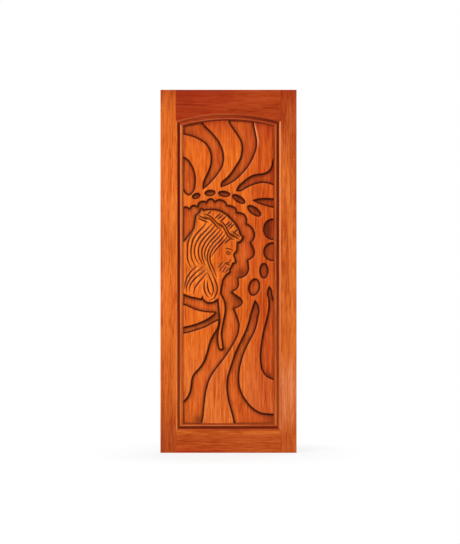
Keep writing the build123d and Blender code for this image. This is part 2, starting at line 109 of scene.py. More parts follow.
# The punched beard along the jaw: its middle, half length and half width, in the same way
BEARD_SHARE = (0.93, -0.30, 0.15, 0.27)

# Layers of the grain: marks a metre across and along it, detail, distortion, and share in the wood's tone
Grain = namedtuple("Grain", "across along detail distortion share")
FIGURE = Grain(10, 1.2, 2.0, 1.2, 0.18)
STREAKS = Grain(70, 3.2, 2.0, 0.5, 0.26)
LINES = Grain(180, 10, 2.0, 0.2, 0.36)
FIBRES = Grain(420, 20, 2.0, 0.0, 0.20)
PORES = Grain(1500, 42, 1.0, 0.0, 0.0)
GRAIN_ROUGHNESS = 0.55
# How much of a stain's channels shows, at shares of the tone from dark to light, and in the pits of the pores
GRAIN_GAINS = (
    (0.41, (0.68, 0.48, 0.38, 1.0)),
    (0.50, (1.0, 1.0, 1.0, 1.0)),
    (0.59, (1.14, 1.42, 1.80, 1.0)),
)
PIT_GAIN = (0.30, 0.30, 0.30)

# Glazing and painted shade in a moulding's quirk, how far they run up the bead, glazing and painted shade on
# the fillet, and wear and painted highlight on arris and bead
Marks = namedtuple("Marks", "quirk spread fillet arris bead")
# Marks of each moulding at its foot or left end, and at its other end
# The glazing carries painted shade and the wear carries painted highlight: the left quirk, shaded by its
# band, is darker than the right, and the right arris, facing the upper-left light, is paler than the left
MOULDING_MARKS = {
    "left": (Marks(0.80, 0.10, 0.35, 0.2, 0.08), Marks(1.0, 0.10, 0.40, 0.0, 1.0)),
    "right": (Marks(0.44, 0.11, 0.25, 0.3, 0.05), Marks(0.86, 0.16, 0.38, 0.75, 0.0)),
    "bottom": (Marks(0.82, 0.10, 0.45, 0.0, 0.4), Marks(0.80, 0.10, 0.45, 0.0, 0.1)),
    "top": (Marks(0.20, 0.10, 0.80, 0.1, 0.25), Marks(0.84, 0.10, 0.80, 0.0, 0.1)),
}
# Where they run over into each other along the grain, as shares of the sight opening
MARK_RUN_SHARES = {"X": (0.4, 0.9), "Z": (0.2, 0.6)}

# Pools of glazing and painted shade in the sunk ground, and cleaner places below 0: across and up as shares
# of the sight opening, half width and half height in metres, and strength
GLAZE_AND_SHADE_POOLS = (
    (0.925, 0.640, 0.034, 0.090, 0.72),
    (0.925, 0.565, 0.032, 0.052, 0.36),
    (0.640, 0.497, 0.034, 0.026, 0.60),
    (0.605, 0.415, 0.040, 0.050, 0.65),
    (0.217, 0.772, 0.022, 0.034, 0.45),
    (0.165, 0.010, 0.028, 0.034, 0.60),
    (0.990, 0.020, 0.050, 0.070, 0.48),
    (0.945, 0.155, 0.045, 0.022, 0.50),
    (0.050, 0.965, 0.055, 0.040, 0.30),
    (0.095, 0.418, 0.030, 0.022, 0.25),
    (0.070, 0.314, 0.090, 0.035, -0.36),
)
# Glazing and painted shade on the raised carving, in the same way: the gathered hair and the ends of the
# crown
RAISED_POOLS = (
    (0.240, 0.507, 0.030, 0.038, 0.34),
    (0.090, 0.515, 0.024, 0.024, 0.24),
    (0.215, 0.695, 0.045, 0.022, 0.28),
    (0.560, 0.622, 0.038, 0.030, 0.28),
)
# The head, where outlines and cuts hold more glazing and painted shade, and a stretch of rim made pale by
# wear and a painted highlight, in the same way
HEAD_PLACE = (0.337, 0.585, 0.196, 0.235)
RUBBED_AND_LIT_PLACE = (0.805, 0.957, 0.040, 0.065)

# Gouge marks and the sway of the hand: marks a metre across and along the grain, and layer of the noise
GOUGE_SCALE = (70, 17, 0)
SWAY_SCALE = (22, 9, 5)


def tint(name, description, default):
    """A colour that a user can change."""
    return FloatVectorProperty(name=name, description=description, default=default, subtype="COLOR")


def metres(name, description, default):
    """A length in metres that a user can change."""
    return FloatProperty(name=name, description=description, default=default, unit="LENGTH")


def watts(name, description, default):
    """A light's power that a user can change."""
    return FloatProperty(name=name, description=description, default=default, unit="POWER")


class WoodSettings(bpy.types.PropertyGroup):
    """Stains and grain of the leaf's wood."""

    left_stile_colour: tint("Left Stile", "Stain of the left stile", (0.68, 0.136, 0.016))
    left_head_colour: tint("Left Head", "Darker head of the left stile", (0.57, 0.108, 0.012))
    left_foot_colour: tint("Left Foot", "Darker foot of the left stile", (0.41, 0.062, 0.009))
    right_stile_colour: tint("Right Stile", "Stain of the right stile", (0.60, 0.121, 0.016))
    right_head_colour: tint("Right Head", "Darker head of the right stile", (0.41, 0.062, 0.010))
    right_low_colour: tint("Right Low", "Paler lower part of the right stile", (0.63, 0.156, 0.043))
    top_rail_colour: tint("Top Rail", "Stain of the top rail's right end", (0.365, 0.043, 0.006))
    top_left_colour: tint("Top Rail Left", "Darker left end of the top rail", (0.325, 0.031, 0.005))
    top_corner_colour: tint("Top Corner", "Darkest corner of the top rail", (0.275, 0.020, 0.004))
    bottom_corner_colour: tint("Bottom Corner", "Redder corner of the bottom rail", (0.45, 0.050, 0.008))
    bottom_rail_colour: tint("Bottom Rail", "Stain of the bottom rail", (0.48, 0.080, 0.011))
    rail_edge_colour: tint("Rail Edge", "Paler top edge of the bottom rail", (0.57, 0.112, 0.015))
    moulding_colour: tint("Moulding", "Stain of the mouldings", (0.66, 0.128, 0.016))
    # The bottom moulding's darker colour is stain with painted shade in it
    bottom_moulding_stain_and_shade_colour: tint("Bottom Moulding", "Stain of the bottom moulding", (0.45, 0.072, 0.010))
    right_moulding_colour: tint("Right Moulding", "Stain of the right moulding", (0.50, 0.090, 0.013))
    panel_colour: tint("Panel", "Stain of the raised carving", (0.68, 0.124, 0.011))
    panel_foot_colour: tint("Panel Foot", "Paler foot of the raised carving", (0.68, 0.140, 0.021))
    panel_head_colour: tint("Panel Head", "Redder head of the raised carving", (0.49, 0.062, 0.008))
    ground_colour: tint("Ground", "Stain of the sunk ground", (0.53, 0.081, 0.010))
    low_ground_colour: tint("Low Ground", "Stain of the ground near the foot", (0.64, 0.110, 0.013))
    # Paler crests between tool cuts: wear and painted highlight
    crest_wear_and_highlight_colour: tint("Crest", "Stain on the crests between tool cuts", (0.82, 0.170, 0.017))
    side_board_gain: FloatVectorProperty(
        name="Side Board",
        description="Tone of the panel's right board against the others",
        default=(0.86, 0.72, 0.80),
    )
    # Dark colour of the glazing and painted shade in cuts and hollows, also used in the rail joints
    glaze_and_shade_colour: tint("Glaze", "Dark glaze left in the cuts", (0.032, 0.0035, 0.0006))
    # Colour of the glazing and painted shade in the mouldings' quirks and on their fillets
    quirk_glaze_and_shade_colour: tint("Quirk", "Red-brown glaze left in the mouldings", (0.10, 0.006, 0.001))
    # Paler colour for wear and painted highlight on arrises, beads and rims
    worn_and_lit_colour: tint("Worn Edge", "Paler wood on rubbed edges", (0.93, 0.31, 0.12))
    roughness: FloatProperty(
        name="Roughness", description="Roughness of the varnish", subtype="FACTOR", default=0.36, min=0, max=1
    )
    grain_height: metres("Grain Height", "Depth of pores and fibres", 0.0003)


class ReliefSettings(bpy.types.PropertyGroup):
    """Sections of the carving."""

    wall_width: metres("Wall Width", "Run of the slope from rim to ground", 0.0045)
    rim_width: metres("Rim Width", "Rounded width of a rim", 0.0055)
    rim_drop: metres("Rim Drop", "Fall of a rim's rounding", 0.0016)
    strand_width: metres("Strand Rounding", "Rounded width beside a tool cut", 0.0075)
    strand_drop: metres("Strand Drop", "Fall of the rounding beside a tool cut", 0.0018)
    tool_mark: metres("Tool Marks", "Height of the gouge marks in the ground", 0.0005)
    outline_step: metres("Outline Step", "Length of the mesh edges along an outline", 0.0031)
    field_step: metres("Field Step", "Mesh size away from the outlines", 0.0095)
    face_step: metres("Face Step", "Mesh size on the figure's face", 0.0032)
    # The dark line along a wall's foot, the toning beside it and the line beside a cut are glazing and
    # painted shade
    glaze_and_shade_width: metres("Glaze Width", "Width of the dark line along the foot of a wall", 0.0120)
    toning_width: metres("Toning Width", "Reach of the soft darkening of the ground", 0.024)
    cut_glaze_and_shade_width: metres("Cut Glaze", "Width of the dark line beside a tool cut", 0.0014)


class MouldingSettings(bpy.types.PropertyGroup):
    """Section of the front moulding, from the frame inwards."""

    band_width: metres("Band", "Width of the flush band", 0.008)
    quirk_width: metres("Quirk", "Width of the sunk quirk", 0.013)
    bead_width: metres("Bead", "Width of the round bead", 0.012)
    quirk_height: metres("Quirk Height", "Height of the quirk's floor over the panel", 0.0012)
    bead_height: metres("Bead Height", "Height of the bead's top over the panel", 0.0072)
    fillet_height: metres("Fillet Height", "Height of the fillet over the panel", 0.00224)
    round_radius: metres("Rounding", "Radius of the band's worn edges", 0.0022)
    bead_steps: IntProperty(name="Bead Steps", description="Mesh steps round the bead", default=18, min=4)
    arch_steps: IntProperty(name="Arch Steps", description="Mesh steps along the arch", default=96, min=8)


class StageSettings(bpy.types.PropertyGroup):
    """Camera and light of the studio."""

    view_width: metres("View Width", "Width of the picture at the leaf", 2.574)
    view_height: metres("View Height", "Height of the camera over the floor", 1.0122)
    view_side: metres("View Side", "Place of the camera across the leaf", 0.0084)
    camera_distance: metres("Camera Distance", "From the camera to the leaf", 11.0)
    key_power: watts("Key Light", "Power of the light at the upper left", 985)
    fill_power: watts("Fill Light", "Power of the light at the right", 72)
    back_power: watts("Back Light", "Power of the light behind the leaf", 450)
    sky_strength: FloatProperty(name="Sky", description="Strength of the light from all round", default=0.24)


def choose_only(thing):
    """Deselect everything, then select one object and make it active."""
    bpy.ops.object.select_all(action="DESELECT")
    thing.select_set(True)
    bpy.context.view_layer.objects.active = thing


def dress(thing, material):
    """Give an object one material in place of those it has."""
    thing.data.materials.clear()
    thing.data.materials.append(material)


def store(mesh, name, values):
    """Keep a number for each corner of a mesh."""
    stored = mesh.attributes.new(name, "FLOAT", "POINT")
    stored.data.foreach_set("value", np.asarray(values, dtype=np.float32))


def close_mesh(smooth_angle):
    """Merge the corners of a mesh in edit mode, turn its faces outwards, leave edit mode and shade it."""
    bpy.ops.mesh.select_all(action="SELECT")
    bpy.ops.mesh.remove_doubles(threshold=MERGE_DISTANCE)
    bpy.ops.mesh.normals_make_consistent(inside=False)
    bpy.ops.object.mode_set(mode="OBJECT")
    bpy.ops.object.shade_smooth_by_angle(angle=smooth_angle)


def opaque(colour, gain=1.0):
    """A colour of four numbers, made lighter or darker."""
    return tuple(channel * gain for channel in colour) + (1.0,)


def sight_at(axis, share):
    """A place along X or Z, from a share of the sight opening."""
    low, size = {"X": (-SIGHT_HALF, SIGHT_WIDTH), "Z": (SIGHT_BOTTOM, SIGHT_HEIGHT)}[axis]
    return low + share * size


def sight_place(shares):
    """A place of the carving in the front view, from shares of the sight opening."""
    return np.array((sight_at("X", shares[0]), sight_at("Z", shares[1])))


class Nodes:
    """Shader nodes of a material or a world. Their inputs are values or outputs of other nodes."""

    def __init__(self, owner):
        owner.use_nodes = True
        self.owner = owner
        self.nodes = owner.node_tree.nodes
        self.links = owner.node_tree.links

    def feed(self, socket, value):
        """Link an output to an input, or set its value; a colour of three numbers is made opaque."""
        if isinstance(value, bpy.types.NodeSocket):
            self.links.new(value, socket)
        elif socket.type == "RGBA" and len(value) == 3:
            socket.default_value = opaque(value)
        else:
            socket.default_value = value

    def node(self, kind, inputs, output=0, **settings):
        made = self.nodes.new(kind)
        for key, value in settings.items():
            setattr(made, key, value)
        for key, value in inputs.items():
            self.feed(made.inputs[key], value)
        return made.outputs[output]

    def math(self, operation, first, second=0.0, third=0.0, clamp=False):
        inputs = {0: first, 1: second, 2: third}
        return self.node("ShaderNodeMath", inputs, operation=operation, use_clamp=clamp)

    def between(self, value, low, high, least=0.0, most=1.0):
        """Share of a value's way between two limits."""
        inputs = {"Value": value, "From Min": low, "From Max": high, "To Min": least, "To Max": most}
        return self.node("ShaderNodeMapRange", inputs, clamp=True)

    def blend(self, factor, first, second, kind="MIX"):
        """Mix two colours; their sockets come after those for numbers and vectors."""
        inputs = {0: factor, 6: first, 7: second}
        return self.node("ShaderNodeMix", inputs, 2, data_type="RGBA", blend_type=kind)

    def ramp(self, factor, stops):
        made = self.nodes.new("ShaderNodeValToRGB")
        self.feed(made.inputs[0], factor)
        elements = made.color_ramp.elements
        while len(elements) < len(stops):
            elements.new(0.5)
        for element, (place, colour) in zip(elements, stops):
            element.position = place
            element.color = colour
        return made.outputs[0]

    def show_white(self, surface, share, glow_kind, output):
        """Mix a share of white into a stage surface where the camera sees it, in gloss and glass too."""
        path = self.nodes.new("ShaderNodeLightPath")
        seen = path.outputs["Is Camera Ray"]
        for name in ("Is Glossy Ray", "Is Transmission Ray"):
            seen = self.math("MAXIMUM", seen, path.outputs[name])
        white = self.node(glow_kind, {"Color": (1, 1, 1), "Strength": 1.0})
        amount = self.math("MULTIPLY", seen, share)
        mixed = self.node("ShaderNodeMixShader", {0: amount, 1: surface, 2: white})
        self.feed(self.nodes[output].inputs["Surface"], mixed)


class StainedWood(Nodes):
    """Straight-grained hardwood under a stain and a satin varnish, with its grain along one axis."""

    def __init__(self, name, grain_axis):
        super().__init__(bpy.data.materials.new(name))
        self.grain_axis = grain_axis
        self.coordinates = self.node("ShaderNodeTexCoord", {}, "Object")
        self.fibres = self.grain(FIBRES)
        self.tone = self.math("MULTIPLY", self.fibres, FIBRES.share)
        for layer in (FIGURE, STREAKS, LINES):
            self.tone = self.math("MULTIPLY_ADD", self.grain(layer), layer.share, self.tone)
        pit_start = 0.58
        pit_end = 0.70
        self.pits = self.between(self.grain(PORES), pit_start, pit_end)

    def grain(self, layer):
        """Noise drawn out along the grain."""
        scale = [layer.across] * 3
        scale["XYZ".index(self.grain_axis)] = layer.along
        stretched = self.node("ShaderNodeMapping", {"Vector": self.coordinates, "Scale": scale})
        inputs = {"Vector": stretched, "Scale": 1.0, "Detail": layer.detail, "Distortion": layer.distortion}
        return self.node("ShaderNodeTexNoise", {**inputs, "Roughness": GRAIN_ROUGHNESS})

    def attribute(self, name):
        return self.node("ShaderNodeAttribute", {}, "Fac", attribute_name=name)

    def place(self, axis):
        return self.node("ShaderNodeSeparateXYZ", {0: self.coordinates}, axis)

    def along(self, axis, low, high):
        """Share of the way between two places on an axis."""
        return self.between(self.place(axis), low, high)

    def along_sight(self, axis, low_share, high_share):
        """Share of the way between two shares of the sight opening."""
        return self.along(axis, sight_at(axis, low_share), sight_at(axis, high_share))

    def near_edge(self, edge, start, end, most=1.0):
        """Share of the way out between two distances from an edge at the left and at the right."""
        return self.between(self.math("ABSOLUTE", self.place("X")), edge - start, edge - end, most=most)

    def runs(self, along, over, first_stops, last_stops):
        """Stains at shares along one axis, run over from one set of stops into another."""
        ends = []
        for stops in (first_stops, last_stops):
            ends.append(self.ramp(along, [(share, opaque(stain)) for share, stain in stops]))
        return self.blend(over, *ends)

    def amounts(self, along, stops):
        """Amounts at shares along one axis."""
        return self.ramp(along, [(share, opaque((amount, amount, amount))) for share, amount in stops])

    def uneven(self, amount, spread):
        """An amount that changes from fibre to fibre."""
        taken = self.math("MULTIPLY_ADD", self.fibres, spread, 1 - spread / 2)
        return self.math("MULTIPLY", amount, taken, clamp=True)

    def stain(self, stain):
        """A stain, given as a value or as the output of a node, as it takes on light and dark grain."""
        pit_strength = 0.38
        grained = self.blend(1.0, stain, self.ramp(self.tone, GRAIN_GAINS), "MULTIPLY")
        pitted = self.blend(1.0, stain, PIT_GAIN, "MULTIPLY")
        return self.blend(self.math("MULTIPLY", self.pits, pit_strength), grained, pitted)

    def varnish(self, stained):
        """Finish the shader with a colour, a grained roughness and the height of the grain."""
        roughness_spread = 0.16
        specular_level = 0.06
        pit_depth_share = 0.7
        bump_strength = 0.6
        wood = bpy.context.scene.door_wood
        least = wood.roughness - roughness_spread / 2
        relief = self.math("MULTIPLY_ADD", self.pits, -pit_depth_share, self.fibres)
        bump = {"Height": relief, "Distance": wood.grain_height, "Strength": bump_strength}
        sockets = self.nodes["Principled BSDF"].inputs
        self.feed(sockets["Base Color"], stained)
        self.feed(sockets["Roughness"], self.math("MULTIPLY_ADD", self.fibres, roughness_spread, least))
        self.feed(sockets["Specular IOR Level"], specular_level)
        self.feed(sockets["Normal"], self.node("ShaderNodeBump", bump))
        return self.owner


def plain_wood(name, grain_axis, stain):
    """Wood in one stain."""
    finish = StainedWood(name, grain_axis)
    return finish.varnish(finish.stain(stain))


def stile_wood(name, inner_stops, outer_stops):
    """Wood of a stile, with stains given at shares of its height for its inner and its outer edge."""
    outer_start = 0.040
    outer_end = 0.014
    finish = StainedWood(name, "Z")
    outward = finish.near_edge(LEAF_HALF, outer_start, outer_end)
    run = finish.runs(finish.along("Z", 0, LEAF_HEIGHT), outward, inner_stops, outer_stops)
    return finish.varnish(finish.stain(run))


def rail_wood(name, low, high, left_stops, right_stops):
    """Wood of a rail: stains up its left end run over into those up its right, with dark joints."""
    run_start = -FRAME_HALF * 0.7
    run_end = FRAME_HALF * 0.5
    joint_start = 0.0016
    joint_end = 0.0003
    joint_strength = 0.75
    joint_gain = 2.0
    finish = StainedWood(name, "X")
    rightward = finish.along("X", run_start, run_end)
    run = finish.runs(finish.along("Z", low, high), rightward, left_stops, right_stops)
    joint = finish.near_edge(FRAME_HALF, joint_start, joint_end, joint_strength)
    glaze = opaque(bpy.context.scene.door_wood.glaze_and_shade_colour, joint_gain)
    return finish.varnish(finish.blend(joint, finish.stain(run), glaze))


def moulding_wood(side, grain_axis, stain):
    """Wood of a front moulding, with the marks of its first end run over into those of its last."""
    glaze_and_shade_spread = 0.3
    wood = bpy.context.scene.door_wood
    sizes = bpy.context.scene.door_moulding
    finish = StainedWood(f"moulding_{side}_wood", grain_axis)
    share = finish.math("DIVIDE", finish.attribute("across"), MOULDING_WIDTH)
    quirk = sizes.band_width / MOULDING_WIDTH
    bead = quirk + sizes.quirk_width / MOULDING_WIDTH
    fillet = bead + sizes.bead_width / MOULDING_WIDTH
    glaze_and_shade_amounts = []
    wear_and_highlight_amounts = []
    for marks in MOULDING_MARKS[side]:
        # Glazing and painted shade in the quirk and on the fillet
        glaze_and_shade_end = bead + marks.spread
        glaze_and_shade_stops = (
            (quirk - 0.01, 0.0),
            (quirk + 0.06, marks.quirk),
            (glaze_and_shade_end - 0.08, marks.quirk),
            (glaze_and_shade_end, 0.0),
            (fillet - 0.03, 0.0),
            (fillet + 0.04, marks.fillet),
        )
        # Wear and painted highlight on the band's arris and on the bead
        wear_and_highlight_stops = (
            (0.0, marks.arris / 3),
            (quirk - 0.09, marks.arris),
            (quirk + 0.03, marks.arris),
            (quirk + 0.07, 0.0),
            (bead + 0.10, 0.0),
            ((bead + fillet) / 2 + 0.06, marks.bead),
            (fillet, 0.0),
        )
        glaze_and_shade_amounts.append(finish.amounts(share, glaze_and_shade_stops))
        wear_and_highlight_amounts.append(finish.amounts(share, wear_and_highlight_stops))
    run = finish.along_sight(grain_axis, *MARK_RUN_SHARES[grain_axis])
    bared_and_lit = finish.blend(finish.blend(run, *wear_and_highlight_amounts), finish.stain(stain), wood.worn_and_lit_colour)
    amount = finish.uneven(finish.blend(run, *glaze_and_shade_amounts), glaze_and_shade_spread)
    return finish.varnish(finish.blend(amount, bared_and_lit, wood.quirk_glaze_and_shade_colour))


def panel_wood(name):
    """Wood of the panel: a light raised carving, a darker sunk ground, glazing and painted shade in cuts and
    hollows, and wear and painted highlight on rims and crests.
    """
    ground_run_shares = (0.30, 0.70)
    foot_run_shares = (0.28, 0.14)
    head_start = SIGHT_CROWN - 0.19
    head_end = SIGHT_CROWN - 0.01
    board_edge = sight_at("X", 0.72)
    board_blur = 0.03
    glaze_and_shade_spread = 0.4
    punches_a_metre = 200
    punch_rim = 0.42
    punch_core = 0.18
    punch_strength = 0.8
    wood = bpy.context.scene.door_wood
    finish = StainedWood(name, "Z")
    upward = finish.along_sight("Z", *ground_run_shares)
    ground = finish.blend(upward, wood.low_ground_colour, wood.ground_colour)
    downward = finish.along_sight("Z", *foot_run_shares)
    low = finish.blend(downward, wood.panel_colour, wood.panel_foot_colour)
    raised = finish.blend(finish.along("Z", head_start, head_end), low, wood.panel_head_colour)
    toned = finish.blend(finish.attribute("sunk"), raised, ground)
    side = finish.along("X", board_edge - board_blur, board_edge + board_blur)
    boards = finish.blend(side, toned, finish.blend(1.0, toned, wood.side_board_gain, "MULTIPLY"))
    ridged = finish.blend(finish.attribute("crest"), boards, wood.crest_wear_and_highlight_colour)
    bared_and_lit = finish.blend(finish.attribute("rubbed"), finish.stain(ridged), wood.worn_and_lit_colour)
    spots = {"Vector": finish.coordinates, "Scale": punches_a_metre}
    dots = finish.node("ShaderNodeTexVoronoi", spots, feature="F1")
    punched = finish.between(dots, punch_rim, punch_core, most=punch_strength)
    beard = finish.math("MULTIPLY", punched, finish.attribute("beard"))
    amount = finish.uneven(finish.attribute("glaze"), glaze_and_shade_spread)
    return finish.varnish(finish.blend(finish.math("MAXIMUM", amount, beard), bared_and_lit, wood.glaze_and_shade_colour))


def eased(value, start, width):
    """0 up to a start and 1 from a width past it, with a soft run between."""
    share = np.clip((value - start) / width, 0, 1)
    return share * share * (3 - 2 * share)


def bell(distance, width):
    """1 at no distance, falling off softly over a width."""
    return np.exp(-((distance / width) ** 2))


def oval_reach(points, oval):
    """How far from the middle of an oval each point lies, squared, where 1 is its edge."""
    return (((points - np.array(oval[:2])) / oval[2:4]) ** 2).sum(axis=1)


def sight_reach(places, oval):
    """The same for an oval whose middle is given as shares of the sight opening."""
    return oval_reach(places, (*sight_place(oval[:2]), *oval[2:4]))


def pooled(places, pool):
    """How strongly a pool of glaze reaches each place."""
    return pool[4] * np.exp(-sight_reach(places, pool))


def wander(places, across, along, layer):
    """Smooth noise over the front view, in marks a metre across and along the grain."""
    return np.array([noise.noise(Vector((x * across, layer, z * along))) for x, z in places])


def edge_insets(places):
    """How far inside the sides, the bottom and the arch of the sight opening each place lies."""
    across, up = places.T
    return SIGHT_HALF - np.abs(across), up - SIGHT_BOTTOM, ARCH_RADIUS - np.hypot(across, up - ARCH_CENTRE)


def sight_inset(places):
    """How far inside the sight opening each place lies."""
    return np.minimum.reduce(edge_insets(places))


def face_shares(places):
    """Places in face lengths: down from hairline to chin, and out from that line."""
    hairline = sight_place(HAIRLINE_SHARE)
    line = sight_place(CHIN_SHARE) - hairline
    out = np.array((-line[1], line[0]))
    offset = places - hairline
    return np.stack((offset @ line, offset @ out), axis=1) / (line @ line)


def face_mask(places):
    """1 on the figure's face, falling to 0 round it."""
    shares = face_shares(places)
    inside = np.minimum(shares - FACE_LOW_SHARE, FACE_HIGH_SHARE - shares).min(axis=1)
    return eased(inside, 0, FACE_FADE_SHARE)


def lattice(low, high, step):
    """Rows of places in a box, every other row shifted by half a step."""
    rows = np.arange(low[1], high[1], step * sqrt(3) / 2)
    columns = np.arange(low[0], high[0], step)
    return np.array([(x + (row % 2) * step / 2, z) for row, z in enumerate(rows) for x in columns])


def merged_mesh(thing):
    """Corners and triangles of a solid's mesh, with its loose corners joined."""
    micrometres = 1e6
    mesh = thing.data
    corners = np.empty(len(mesh.vertices) * 3)
    mesh.vertices.foreach_get("co", corners)
    triangles = np.array([face.vertices[:] for face in mesh.polygons])
    keys = np.round(corners.reshape(-1, 3) * micrometres).astype(np.int64)
    kept, index = np.unique(keys, axis=0, return_inverse=True)
    return kept / micrometres, index.reshape(-1)[triangles]


def new_mesh(name, corners, triangles):
    """A mesh from corners and triangles."""
    mesh = bpy.data.meshes.new(name)
    mesh.from_pydata(corners.tolist(), [], triangles.tolist())
    return mesh


def boundary_loops(triangles):
    """Closed runs of corners round a set of triangles, with the triangles on the left."""
    edges = {(tri[step], tri[(step + 1) % 3]) for tri in triangles.tolist() for step in range(3)}
    following = {}
    for start, end in sorted(edges):
        if (end, start) not in edges:
            following.setdefault(start, []).append(end)
    loops = []
    while following:
        first = min(following)
        loop = [first]
        here = first
        while True:
            ahead = following[here].pop()
            if not following[here]:
                del following[here]
            if ahead == first:
                break
            loop.append(ahead)
            here = ahead
        loops.append(loop)
    return loops


def smooth_run(points, step):
    """A closed outline drawn again with curves between its corners, in steps of one length."""
    corner_turn = cos(radians(30))
    ahead = np.roll(points, -1, axis=0) - points
    length = np.linalg.norm(ahead, axis=1)
    heading = ahead / length[:, None]
    behind = np.roll(heading, 1, axis=0)
    behind_length = np.roll(length, 1)
    sharp = (heading * behind).sum(axis=1) < corner_turn
    tangent = behind * length[:, None] + heading * behind_length[:, None]
    tangent /= np.linalg.norm(tangent, axis=1)[:, None]
    drawn = []
    for here in range(len(points)):
        there = (here + 1) % len(points)
        leave = heading[here] if sharp[here] else tangent[here]
        reach = heading[here] if sharp[there] else tangent[there]
        count = max(1, ceil(length[here] / step))
        run = np.arange(count)[:, None] / count
        first = (2 * run**3 - 3 * run**2 + 1) * points[here]
        last = (3 * run**2 - 2 * run**3) * points[there]
        bend = (run**3 - 2 * run**2 + run) * leave + (run**3 - run**2) * reach
        drawn.append(first + last + bend * length[here])
    return np.concatenate(drawn)


class Outlines:
    """Closed outlines in the front view, with the way inwards from each of their points."""

    def __init__(self, loops):
        sight_slack = 0.0006
        counts = np.array([len(loop) for loop in loops])
        ends = np.cumsum(counts)
        self.points = np.concatenate(loops)
        self.loop_of = np.repeat(np.arange(len(loops)), counts)
        self.ahead = np.arange(len(self.points)) + 1
        self.ahead[ends - 1] = ends - counts
        behind = np.empty_like(self.ahead)
        behind[self.ahead] = np.arange(len(self.points))
        along = self.points[self.ahead] - self.points[behind]
        along /= np.maximum(np.linalg.norm(along, axis=1), TINY)[:, None]
        self.inward = np.stack((-along[:, 1], along[:, 0]), axis=1)
        self.on_sight = sight_inset((self.points + self.points[self.ahead]) / 2) < sight_slack

    def edges(self, offset):
        return np.stack((np.arange(len(self.points)), self.ahead), axis=1) + offset

    def nearest(self, places, used=slice(None)):
        """The nearest used edge to each place, as the number of its start, and the distance to it."""
        near_count = 6
        starts = np.arange(len(self.points))[used]
        first = self.points[starts]
        last = self.points[self.ahead[starts]]
        tree = KDTree(len(starts))
        for slot, (across, up) in enumerate((first + last) / 2):
            tree.insert((across, up, 0), slot)
        tree.balance()
        found = np.array([[hit[1] for hit in tree.find_n((x, z, 0), near_count)] for x, z in places])
        run = (last - first)[found]
        offset = places[:, None] - first[found]
        share = (offset * run).sum(axis=2) / np.maximum((run * run).sum(axis=2), TINY)
        gap = offset - run * np.clip(share, 0, 1)[:, :, None]
        squares = (gap * gap).sum(axis=2)
        chosen = squares.argmin(axis=1)
        every = np.arange(len(places))
        return starts[found[every, chosen]], np.sqrt(squares[every, chosen])


class Survey:
    """What each place of the carving is, and how far it lies from walls, cuts and sight edges."""

    def __init__(self, carving, places):
        sight_slack = 0.00025
        ground = carving.ground
        level = carving.level_at(places)
        self.places = places
        self.across, self.up = places.T
        self.right = self.across > 0
        self.inset = sight_inset(places)
        self.side, self.bottom, self.arch = np.maximum(edge_insets(places), 0)
        self.wall, self.to_wall = ground.nearest(places, ~ground.on_sight)
        self.to_cut = carving.cuts.nearest(places)[1]
        self.facing = ground.inward[self.wall]
        self.inside = self.inset > sight_slack
        self.sunk = self.inside & (level > (carving.cut_level + carving.ground_level) / 2)
        self.cut = self.inside & ~self.sunk & (level > (carving.face_level + carving.cut_level) / 2)
        self.raised = ~(self.sunk | self.cut)
        self.marks = wander(places, *GOUGE_SCALE)
        self.sway = wander(places, *SWAY_SCALE)


